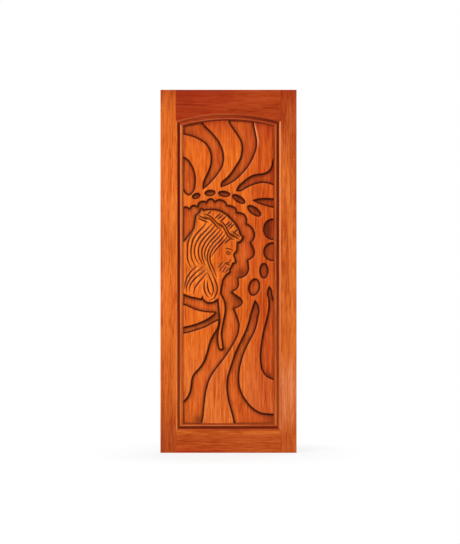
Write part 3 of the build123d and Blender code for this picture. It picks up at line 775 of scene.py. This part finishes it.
class Carving:
    """The panel's carved front as a sheet over the front view: its mesh, depths and colouring masks."""

    def __init__(self, node, sizes):
        self.sizes = sizes
        self.corners, self.triangles = merged_mesh(node)
        self.solid = BVHTree.FromPolygons(self.corners.tolist(), self.triangles.tolist())
        depths = self.corners[self.triangles][:, :, 1]
        middles = self.corners[self.triangles].mean(axis=1)
        flat = np.ptp(depths, axis=1) < LEVEL_SLACK
        within = sight_inset(middles[:, (0, 2)]) > 0
        forward = depths[:, 0] < 0
        levels = np.unique(np.round(depths[flat & within & forward, 0], 6))
        self.face_level, self.cut_level, self.ground_level = levels
        self.front = flat & (np.abs(depths[:, 0] - self.face_level) < LEVEL_SLACK)
        self.carved = self.front | (within & (middles[:, 1] < 0))
        self.ground = self.outlines(self.ground_level, flat)
        self.cuts = self.outlines(self.cut_level, flat)
        self.cut_depth = self.cut_level - self.face_level
        self.ground_depth = self.ground_level - self.face_level

    def outlines(self, level, flat):
        """The smoothed outlines of the flat faces at one depth."""
        chosen = flat & (np.abs(self.corners[self.triangles][:, 0, 1] - level) < LEVEL_SLACK)
        runs = [self.corners[loop][:, (0, 2)] for loop in boundary_loops(self.triangles[chosen])]
        return Outlines([smooth_run(run, self.sizes.outline_step) for run in runs])

    def level_at(self, places):
        """The solid's own level behind each place of the front view."""
        ahead = Vector((0, 1, 0))
        hits = [self.solid.ray_cast(Vector((x, LEAF_FACE, z)), ahead) for x, z in places]
        return np.array([hit[0].y if hit[0] else self.face_level for hit in hits])

    def clearance(self, places):
        """Distance from each place to the nearest outline."""
        return np.minimum(self.ground.nearest(places)[1], self.cuts.nearest(places)[1])

    def spread(self):
        """Places of the mesh: the outlines, steps to both sides of them, and a lattice over the rest."""
        wall_step_shares = (0.22, 0.5, 0.8, 1.1, 1.9, 3.0)
        rim_step_shares = (0.2, 0.45, 0.75, 1.1)
        cut_steps = (0.0010, 0.0020, -0.0012, -0.0028, -0.0055)
        sight_steps = (0.0005, 0.0035, 0.0075)
        step_room_share = 0.93
        field_room_share = 0.55
        face_room_share = 0.75
        edge_room_share = 0.4
        edge_room = sight_steps[0] * 0.9
        sizes, ground, cuts = self.sizes, self.ground, self.cuts
        free = ~ground.on_sight
        steps = [(ground, free, sizes.wall_width * share) for share in wall_step_shares]
        steps += [(ground, free, -sizes.rim_width * share) for share in rim_step_shares]
        steps += [(cuts, slice(None), inset) for inset in cut_steps]
        steps += [(ground, ground.on_sight, inset) for inset in sight_steps]
        kept = [ground.points, cuts.points]
        for outlines, chosen, inset in steps:
            places = outlines.points[chosen] + outlines.inward[chosen] * inset
            clear = self.clearance(places) > abs(inset) * step_room_share
            kept.append(places[clear & (sight_inset(places) > edge_room)])
        fields = ((sizes.field_step, field_room_share, False), (sizes.face_step, face_room_share, True))
        for step, room_share, on_face in fields:
            places = lattice((-SIGHT_HALF, SIGHT_BOTTOM), (SIGHT_HALF, SIGHT_CROWN), step)
            places = places[(face_mask(places) > 0) == on_face]
            clear = self.clearance(places) > step * room_share
            kept.append(places[clear & (sight_inset(places) > step * edge_room_share)])
        return np.concatenate(kept)

    def sheet(self):
        """The sheet's places in the front view and its triangles, out to the edge of the panel's field."""
        loops = boundary_loops(self.triangles[self.front])
        outer = max(loops, key=lambda loop: np.ptp(self.corners[loop][:, 2]))
        border = Outlines([self.corners[outer][:, (0, 2)]])
        first_cut = len(border.points) + len(self.ground.points)
        edges = (border.edges(0), self.ground.edges(len(border.points)), self.cuts.edges(first_cut))
        places = [Vector(place) for place in np.concatenate((border.points, self.spread()))]
        whole_hull = 0
        made = delaunay_2d_cdt(places, np.concatenate(edges).tolist(), [], whole_hull, LEVEL_SLACK)
        return np.array([tuple(place) for place in made[0]]), np.array([tuple(tri) for tri in made[2]])

    def depth(self, at):
        """Depth below the panel's face: rounded rims and strands, grooves, sloped walls, a tooled ground."""
        groove_width = 0.0024
        wall_power = 2.2
        hand_sway = 0.0002
        tooling_fade = 0.012
        sizes = self.sizes
        rim = sizes.rim_drop * np.clip(1 - at.to_wall / sizes.rim_width, 0, 1) ** 2
        strand = sizes.strand_drop * np.clip(1 - at.to_cut / sizes.strand_width, 0, 1) ** 2
        groove_depth = self.cut_depth - sizes.strand_drop
        groove = sizes.strand_drop + groove_depth * np.clip(at.to_cut / groove_width, 0, 1)
        raised = rim + np.where(at.cut, groove, strand) + hand_sway * (1 + at.sway)
        slope = 1 - (1 - np.clip(at.to_wall / sizes.wall_width, 0, 1)) ** wall_power
        floor = self.ground_depth - sizes.tool_mark * (1 + at.marks) / 2 * eased(at.to_wall, 0, tooling_fade)
        depth = np.where(at.sunk, sizes.rim_drop + (floor - sizes.rim_drop) * slope, raised)
        depth += self.face_depth(at.places) * at.raised
        return depth * at.inside

    def face_depth(self, places):
        """Depth of the soft forms of the figure's face."""
        shares = face_shares(places)
        depth = np.zeros(len(places))
        for form in FACE_FORM_SHARES:
            depth += form[4] * np.exp(-oval_reach(shares, form))
        return np.maximum(depth, 0) * self.cut_depth * face_mask(places)

    def local_reach(self, at):
        """How far a hollow's walls stand apart near each place: the largest distance to a wall around it."""
        cell = 0.009
        margin = 3
        near = 2
        slots = np.floor((at.places - (-SIGHT_HALF, SIGHT_BOTTOM)) / cell).astype(int) + margin
        around = np.zeros([ceil(size / cell) + margin * 2 + 1 for size in (SIGHT_WIDTH, SIGHT_HEIGHT)])
        slots = np.clip(slots, 0, np.array(around.shape) - 1)
        np.maximum.at(around, tuple(slots[at.sunk].T), at.to_wall[at.sunk])
        widened = np.zeros_like(around)
        for across in range(-near, near + 1):
            for up in range(-near, near + 1):
                widened = np.maximum(widened, np.roll(around, (across, up), axis=(0, 1)))
        hollow = self.ground.loop_of[at.wall]
        hollow_reach = np.zeros(self.ground.loop_of[-1] + 1)
        np.maximum.at(hollow_reach, hollow[at.sunk], at.to_wall[at.sunk])
        return np.minimum(widened[tuple(slots.T)], hollow_reach[hollow])

    def ground_glaze_and_shade(self, at):
        """Glazing and painted shade of the sunk ground: a line along its walls, toning beside it, pools and
        side strips, darker under walls that stand above.
        """
        line_strength = 0.97
        line_falloff = 1.9
        line_under_gain = 0.18
        narrow_width = 0.015
        narrow_fade = 0.018
        toning_strength = 0.46
        toning_narrow_gain = 0.26
        toning_under_gain = 0.28
        toning_start = 0.005
        side_start = 0.008
        arch_fade = 0.12
        cleaner_strength = 0.3
        cleaner_start_share = 0.6
        right_gap = 0.001
        right_gap_fade = 0.009
        left_strength, left_width = 0.52, 0.0080
        right_strength, right_width = 0.44, 0.0045
        right_inset = 0.0035
        # Painted shade: the line is wider and the toning darker under walls that stand above, where the light
        # from above casts shade
        under = -at.facing[:, 1]
        width = self.sizes.glaze_and_shade_width * (1 + line_under_gain * under)
        line = line_strength * bell(np.maximum(at.to_wall - width / 2, 0), width / line_falloff)
        # Narrow hollows take darker toning, as painted shade kept in recesses
        narrow = 1 - eased(self.local_reach(at), narrow_width, narrow_fade)
        left_edge = np.minimum(at.side, at.arch + eased(at.across, -arch_fade, arch_fade))
        to_side = np.where(at.right, at.to_wall, np.minimum(at.to_wall, left_edge + side_start))
        toning = (toning_strength + toning_narrow_gain * narrow) * (1 + toning_under_gain * under)
        toning *= 1 - eased(to_side, toning_start, self.sizes.toning_width * (1 + narrow))
        rightward = eased(at.across / SIGHT_HALF, cleaner_start_share, 1 - cleaner_start_share)
        toning *= 1 - cleaner_strength * rightward
        for pool in GLAZE_AND_SHADE_POOLS:
            added = pooled(at.places, pool)
            toning += added * np.where(added > 0, 1 - toning, toning)
        toning *= np.where(at.right, eased(at.side, right_gap, right_gap_fade), 1)
        left_strip = left_strength * bell(left_edge, left_width)
        right_strip = right_strength * bell(at.side - right_inset, right_width)
        return np.maximum.reduce((line, toning, np.where(at.right, right_strip, left_strip)))

    def raised_glaze_and_shade(self, at):
        """Glazing and painted shade of the raised carving: along its rims and beside its cuts, with more on
        hair and crown.
        """
        rim_strength, head_rim_strength = 0.5, 0.80
        rim_width, head_rim_width = 0.0022, 0.0058
        cut_strength = 0.85
        head_cut_gain = 1.7
        cap = (sight_reach(at.places, HEAD_PLACE) < 1) & (at.up > sight_at("Z", HAIRLINE_SHARE[1]))
        rim = np.where(cap, head_rim_strength, rim_strength)
        rim *= bell(at.to_wall, np.where(cap, head_rim_width, rim_width))
        cut_width = self.sizes.cut_glaze_and_shade_width * np.where(cap, head_cut_gain, 1)
        pools = [pooled(at.places, pool) for pool in RAISED_POOLS]
        return np.maximum.reduce([rim, cut_strength * bell(at.to_cut, cut_width), *pools])

    def edge_glaze_and_shade(self, at):
        """Glazing and painted shade along the mouldings: a fine line, wider on the raised right, and painted
        shade under the arch.
        """
        line_strength = 0.66
        line_width = 0.0030
        right_width = 0.0040
        right_upper_gain = 0.0060
        shade_strength = 0.26
        shade_width = 0.024
        upper_start_share = 0.75
        upper_fade_share = 0.17
        upper = eased((at.up - SIGHT_BOTTOM) / SIGHT_HEIGHT, upper_start_share, upper_fade_share)
        edge = np.where(at.sunk & at.right, np.minimum(at.bottom, at.arch), np.maximum(at.inset, 0))
        right_line = bell(at.side, right_width + right_upper_gain * upper) * (at.right & ~at.sunk)
        shade = shade_strength * upper * (1 - eased(at.inset, 0, shade_width))
        return np.maximum(line_strength * np.maximum(bell(edge, line_width), right_line), shade)

    def rubbing_and_highlight(self, at):
        """Rims made pale by wear and a painted highlight where they face the upper left, most of all along
        one stretch.
        """
        facing = np.array((-0.8, 0.6))
        strength = 0.25
        stretch_strength = 1.3
        rim_inset = 0.0022
        rim_width = 0.0040
        # Only rims that face the upper-left light take it, so this paleness is painted highlight as well as
        # wear
        lit = np.clip(at.facing @ facing, 0, 1)
        stretch = np.exp(-(sight_reach(at.places, RUBBED_AND_LIT_PLACE) ** 2))
        worn_and_lit = strength * (1 + at.sway) / 2 + stretch_strength * stretch
        return np.clip(lit * worn_and_lit * bell(at.to_wall - rim_inset, rim_width), 0, 1)

    def masks(self, at, depth):
        """Shares of ground stain, of glazing and painted shade, of wear and painted highlight on rims and on
        crests between cuts, and of beard at each place.
        """
        stain_fade_share = 0.55
        cut_strength = 0.92
        glaze_overrun = 0.004
        crest_inset = 0.0065
        crest_width = 0.0040
        beard_start = 0.75
        beard_fade = 0.5
        sunk = eased(depth, self.sizes.rim_drop, self.ground_depth * stain_fade_share)
        rubbed = self.rubbing_and_highlight(at) * at.raised
        # Cut grooves take glazing and painted shade
        above = np.where(at.cut, cut_strength, self.raised_glaze_and_shade(at))
        glaze = np.where(at.sunk, self.ground_glaze_and_shade(at), above)
        glaze = np.maximum(glaze, self.edge_glaze_and_shade(at)) * (1 - rubbed)
        # Crests beside the cuts are made paler: wear and painted highlight
        crest = bell(at.to_cut - crest_inset, crest_width) * (1 - face_mask(at.places))
        jaw_reach = oval_reach(face_shares(at.places), BEARD_SHARE)
        beard = 1 - eased(jaw_reach, beard_start, beard_fade)
        return {
            "sunk": sunk * at.sunk,
            "glaze": glaze * (at.inset > -glaze_overrun),
            "rubbed": rubbed,
            "crest": crest * at.raised,
            "beard": beard * at.raised,
        }


class DOOR_OT_frame_wood(bpy.types.Operator):
    """Stain the stiles, the rails and the back mouldings"""

    bl_idname = "door.frame_wood"
    bl_label = "Stain the Frame"

    def execute(self, context):
        wood = context.scene.door_wood
        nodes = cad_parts
        left = (
            (0.05, wood.left_foot_colour),
            (0.17, wood.left_head_colour),
            (0.42, wood.left_stile_colour),
            (0.48, wood.left_stile_colour),
            (0.58, wood.left_head_colour),
            (0.69, wood.left_stile_colour),
            (0.80, wood.left_stile_colour),
            (0.94, wood.left_head_colour),
            (1.00, wood.left_foot_colour),
        )
        right_low = (
            (0.05, wood.right_moulding_colour),
            (0.12, wood.right_low_colour),
            (0.21, wood.right_low_colour),
            (0.27, wood.right_stile_colour),
        )
        right_top = ((0.95, wood.right_head_colour), (1.0, wood.top_left_colour))
        plain, head = wood.right_stile_colour, wood.right_head_colour
        right_inner = (*right_low, (0.78, plain), (0.91, head), *right_top)
        right_outer = (*right_low, (0.62, plain), (0.84, head), *right_top)
        dress(nodes["left_stile"], stile_wood("left_stile_wood", left, left))
        dress(nodes["right_stile"], stile_wood("right_stile_wood", right_inner, right_outer))

        top_left = ((0.45, wood.top_left_colour), (0.92, wood.top_corner_colour))
        top_right = ((0.0, wood.top_rail_colour), (1.0, wood.top_rail_colour))
        dress(nodes["top_rail"], rail_wood("top_rail_wood", FRAME_SPRING, LEAF_HEIGHT, top_left, top_right))
        edge_start = 0.032
        edge_end = 0.013
        upper = (
            (0.35, wood.bottom_rail_colour),
            (1 - edge_start / RAIL_TOP, wood.bottom_rail_colour),
            (1 - edge_end / RAIL_TOP, wood.rail_edge_colour),
        )
        bottom_left = ((0.06, wood.bottom_corner_colour), *upper)
        dress(nodes["bottom_rail"], rail_wood("bottom_rail_wood", 0, RAIL_TOP, bottom_left, upper))

        upright = plain_wood("back_upright_wood", "Z", wood.moulding_colour)
        level = plain_wood("back_level_wood", "X", wood.moulding_colour)
        for side, material in (("left", upright), ("right", upright), ("bottom", level), ("top", level)):
            dress(nodes[f"back_moulding_{side}"], material)
        return {"FINISHED"}


class DOOR_OT_carved_panel(bpy.types.Operator):
    """Carve the panel: rounded rims, sloped walls, a tooled ground and grooves along the solid's outlines"""

    bl_idname = "door.carved_panel"
    bl_label = "Carve the Panel"

    def execute(self, context):
        smooth_angle = radians(60)
        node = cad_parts["carved_panel"]
        carving = Carving(node, context.scene.door_relief)
        choose_only(node)
        bpy.ops.object.duplicate()
        piece = context.view_layer.objects.active
        piece.name = "carved_panel_relief"
        piece.data = new_mesh("carved_panel_relief", carving.corners, carving.triangles[~carving.carved])

        places, triangles = carving.sheet()
        at = Survey(carving, places)
        depth = carving.depth(at)
        corners = np.stack((at.across, carving.face_level + depth, at.up), axis=1)
        sheet = bpy.data.objects.new("carved_front", new_mesh("carved_front", corners, triangles))
        for name, values in carving.masks(at, depth).items():
            store(sheet.data, name, values)
        context.scene.collection.objects.link(sheet)
        choose_only(piece)
        sheet.select_set(True)
        bpy.ops.object.join()
        bpy.ops.object.mode_set(mode="EDIT")
        bpy.ops.mesh.select_all(action="SELECT")
        bpy.ops.mesh.delete_loose()
        close_mesh(smooth_angle)
        dress(piece, panel_wood("panel_wood"))
        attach(piece, "root")
        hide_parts("carved_panel")
        return {"FINISHED"}


def moulding_outline(sizes):
    """Section of the front moulding: across from the frame inwards, and up from the panel."""
    round_steps = 5
    hollow_steps = 8
    quirk_rim_gain = 1.15
    bead_gap = 0.0004
    arris = 0.0006
    bead_start = sizes.band_width + sizes.quirk_width
    fillet_start = bead_start + sizes.bead_width
    radius = sizes.round_radius
    turns = [radians(90) * step / round_steps for step in range(round_steps + 1)]
    outline = [(0, 0), (0, RECESS - radius / 2)]
    outline += [(radius / 2 * (1 - cos(turn)), RECESS - radius / 2 * (1 - sin(turn))) for turn in turns[1:]]
    corner = sizes.band_width - radius
    outline += [(corner + radius * sin(turn), RECESS - radius * (1 - cos(turn))) for turn in turns]
    rim_height = sizes.fillet_height * quirk_rim_gain
    fall = rim_height - sizes.quirk_height
    half = sizes.quirk_width / 2
    middle = sizes.band_width + half
    for step in range(hollow_steps):
        turn = pi * step / hollow_steps
        outline.append((middle - half * cos(turn), rim_height - fall * sin(turn)))
    rise = sizes.bead_height - sizes.fillet_height
    half = sizes.bead_width / 2
    middle = bead_start + half
    bead_radius = (half**2 + rise**2) / (rise * 2)
    spread = asin(min(1.0, half / bead_radius))
    if rise > half:
        spread = pi - spread
    centre = sizes.bead_height - bead_radius
    for step in range(sizes.bead_steps + 1):
        turn = spread * (2 * step / sizes.bead_steps - 1)
        outline.append((middle + bead_radius * sin(turn), centre + bead_radius * cos(turn)))
    outline += [(fillet_start + bead_gap, sizes.fillet_height), (MOULDING_WIDTH - arris, sizes.fillet_height)]
    outline += [(MOULDING_WIDTH, sizes.fillet_height - arris), (MOULDING_WIDTH, 0)]
    return outline


def start_section(name, corners):
    """A filled ring with its corners on a section, in edit mode with all of it selected."""
    bpy.ops.object.select_all(action="DESELECT")
    bpy.ops.mesh.primitive_circle_add(vertices=len(corners), radius=MOULDING_WIDTH, fill_type="NGON")
    piece = bpy.context.view_layer.objects.active
    piece.name = name
    piece.data.name = name
    for vertex, corner in zip(piece.data.vertices, corners):
        vertex.co = corner
    bpy.ops.object.mode_set(mode="EDIT")
    bpy.ops.mesh.select_all(action="SELECT")
    return piece


def mitre(sign, heights, kept):
    """Cut the piece in edit mode along a mitre at one side, and close the part that a kept place lies in."""
    start = Vector((sign * FRAME_HALF, 0, heights[0]))
    square = Vector((heights[0] - heights[1], 0, sign * (SIGHT_HALF - FRAME_HALF)))
    if square.dot(Vector((kept[0], 0, kept[1])) - start) < 0:
        square.negate()
    bpy.ops.mesh.select_all(action="SELECT")
    bpy.ops.mesh.bisect(plane_co=start, plane_no=square, use_fill=True, clear_inner=True, clear_outer=False)


class DOOR_OT_front_mouldings(bpy.types.Operator):
    """Run the front mouldings, bend one under the arch, and cut their mitres"""

    bl_idname = "door.front_mouldings"
    bl_label = "Run the Front Mouldings"

    def execute(self, context):
        sizes = context.scene.door_moulding
        wood = context.scene.door_wood
        outline = moulding_outline(sizes)
        uprights = (("left", -1, wood.moulding_colour), ("right", 1, wood.right_moulding_colour))
        for side, sign, stain in uprights:
            corners = [(sign * (FRAME_HALF - across), PANEL_FACE - up, RAIL_TOP) for across, up in outline]
            piece = start_section(f"bead_moulding_{side}", corners)
            run = (0, 0, FRAME_SPRING - RAIL_TOP)
            bpy.ops.mesh.extrude_region_move(TRANSFORM_OT_translate={"value": run})
            beside = (sign * FRAME_HALF, (SIGHT_BOTTOM + SIGHT_CROWN) / 2)
            mitre(sign, FOOT_MITRE, beside)
            mitre(sign, HEAD_MITRE, beside)
            upright = moulding_wood(side, "Z", stain)
            self.finish_length(piece, lambda co: FRAME_HALF - abs(co.x), upright, side)

        corners = [(-FRAME_HALF, PANEL_FACE - up, RAIL_TOP + across) for across, up in outline]
        piece = start_section("bead_moulding_bottom", corners)
        bpy.ops.mesh.extrude_region_move(TRANSFORM_OT_translate={"value": (FRAME_HALF * 2, 0, 0)})
        for sign in (-1, 1):
            mitre(sign, FOOT_MITRE, (0, RAIL_TOP))
        level = moulding_wood("bottom", "X", wood.bottom_moulding_stain_and_shade_colour)
        self.finish_length(piece, lambda co: co.z - RAIL_TOP, level, "bottom")

        overrun = 1.1
        outer = ARCH_RADIUS + MOULDING_WIDTH
        half_turn = asin(FRAME_HALF / outer) * overrun
        corners = []
        for across, up in outline:
            reach = outer - across
            corners.append((-reach * sin(half_turn), PANEL_FACE - up, ARCH_CENTRE + reach * cos(half_turn)))
        piece = start_section("bead_moulding_top", corners)
        bpy.ops.mesh.spin(
            steps=sizes.arch_steps, angle=-half_turn * 2, center=(0, 0, ARCH_CENTRE), axis=(0, 1, 0)
        )
        for sign in (-1, 1):
            mitre(sign, HEAD_MITRE, (0, SIGHT_CROWN))
        bent = moulding_wood("top", "X", wood.top_rail_colour)
        self.finish_length(piece, lambda co: outer - sqrt(co.x**2 + (co.z - ARCH_CENTRE) ** 2), bent, "top")
        return {"FINISHED"}

    def finish_length(self, piece, across_of, material, side):
        """Close a length's mesh, store how far across it each corner lies, and let it replace its solid."""
        smooth_angle = radians(38)
        close_mesh(smooth_angle)
        store(piece.data, "across", [across_of(vertex.co) for vertex in piece.data.vertices])
        dress(piece, material)
        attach(piece, "root")
        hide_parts(f"front_moulding_{side}")


class DOOR_OT_stage(bpy.types.Operator):
    """Set the pale floor, the soft lights and the camera"""

    bl_idname = "door.stage"
    bl_label = "Set the Stage"

    def execute(self, context):
        settings = context.scene.door_stage
        scene = context.scene
        scene.view_settings.view_transform = "Standard"
        self.add_floor(context)

        sky_nodes = Nodes(bpy.data.worlds.new("studio"))
        scene.world = sky_nodes.owner
        sky = sky_nodes.nodes["Background"]
        sky_nodes.feed(sky.inputs["Color"], (1, 1, 1))
        sky_nodes.feed(sky.inputs["Strength"], settings.sky_strength)
        sky_nodes.show_white(sky.outputs[0], 1.0, "ShaderNodeBackground", "World Output")

        key_place = (-6.0, -7.0, 6.2)
        fill_place = (5.0, -7.0, 1.6)
        back_place = (5.5, 6.5, 5.5)
        self.add_light("key_light", key_place, settings.key_power)
        self.add_light("fill_light", fill_place, settings.fill_power)
        self.add_light("back_light", back_place, settings.back_power)

        picture_width = 460
        picture_height = 544
        lens = bpy.data.cameras.new("camera")
        camera = bpy.data.objects.new("camera", lens)
        scene.collection.objects.link(camera)
        camera.location = (settings.view_side, LEAF_FACE - settings.camera_distance, settings.view_height)
        camera.rotation_euler = (radians(90), 0, 0)
        lens.sensor_fit = "VERTICAL"
        view_height = settings.view_width * picture_height / picture_width
        lens.lens = lens.sensor_height * settings.camera_distance / view_height
        scene.camera = camera
        return {"FINISHED"}

    def add_floor(self, context):
        """A pale floor that keeps the leaf's shadow and is white away from it."""
        floor_size = 60
        floor_tone = (0.86, 0.86, 0.86)
        shadow_reach = 0.38
        white_reach = 0.80
        least_white = 0.80
        bpy.ops.object.select_all(action="DESELECT")
        bpy.ops.mesh.primitive_plane_add(size=floor_size, location=(0, 0, 0))
        floor = context.view_layer.objects.active
        floor.name = "floor"
        paint = Nodes(bpy.data.materials.new("pale_floor"))
        paint.nodes.remove(paint.nodes["Principled BSDF"])
        matte = paint.node("ShaderNodeBsdfDiffuse", {"Color": floor_tone})
        place = paint.node("ShaderNodeTexCoord", {}, "Object")
        reach = paint.node("ShaderNodeVectorMath", {0: place}, "Value", operation="LENGTH")
        white = paint.between(reach, shadow_reach, white_reach, least=least_white)
        paint.show_white(matte, white, "ShaderNodeEmission", "Material Output")
        dress(floor, paint.owner)

    def add_light(self, name, place, power):
        """An even square light that looks at the middle of the leaf."""
        light_size = 3.0
        bpy.ops.object.light_add(type="AREA", location=place)
        light = bpy.context.view_layer.objects.active
        light.name = name
        light.data.energy = power
        light.data.size = light_size
        middle = Vector((0, 0, LEAF_HEIGHT / 2))
        light.rotation_euler = (middle - Vector(place)).to_track_quat("-Z", "Y").to_euler()


class DOOR_PT_sidebar(bpy.types.Panel):
    """Sidebar list of the door's steps and settings"""

    bl_label = "Temple Door"
    bl_space_type = "VIEW_3D"
    bl_region_type = "UI"
    bl_category = "Temple Door"

    def draw(self, context):
        for step in OPERATORS:
            self.layout.operator(step.bl_idname)
        for name, kind in SETTINGS.items():
            group = getattr(context.scene, name)
            box = self.layout.box()
            for key in kind.__annotations__:
                box.prop(group, key)


OPERATORS = (DOOR_OT_frame_wood, DOOR_OT_carved_panel, DOOR_OT_front_mouldings, DOOR_OT_stage)
SETTINGS = {
    "door_wood": WoodSettings,
    "door_relief": ReliefSettings,
    "door_moulding": MouldingSettings,
    "door_stage": StageSettings,
}


def register():
    for kind in (*SETTINGS.values(), *OPERATORS, DOOR_PT_sidebar):
        bpy.utils.register_class(kind)
    for name, kind in SETTINGS.items():
        setattr(bpy.types.Scene, name, PointerProperty(type=kind))


def unregister():
    for name in SETTINGS:
        delattr(bpy.types.Scene, name)
    for kind in (DOOR_PT_sidebar, *OPERATORS, *SETTINGS.values()):
        bpy.utils.unregister_class(kind)


def main():
    register()
    bpy.ops.door.frame_wood()
    bpy.ops.door.carved_panel()
    bpy.ops.door.front_mouldings()
    bpy.ops.door.stage()


if __name__ == "__main__":
    main()
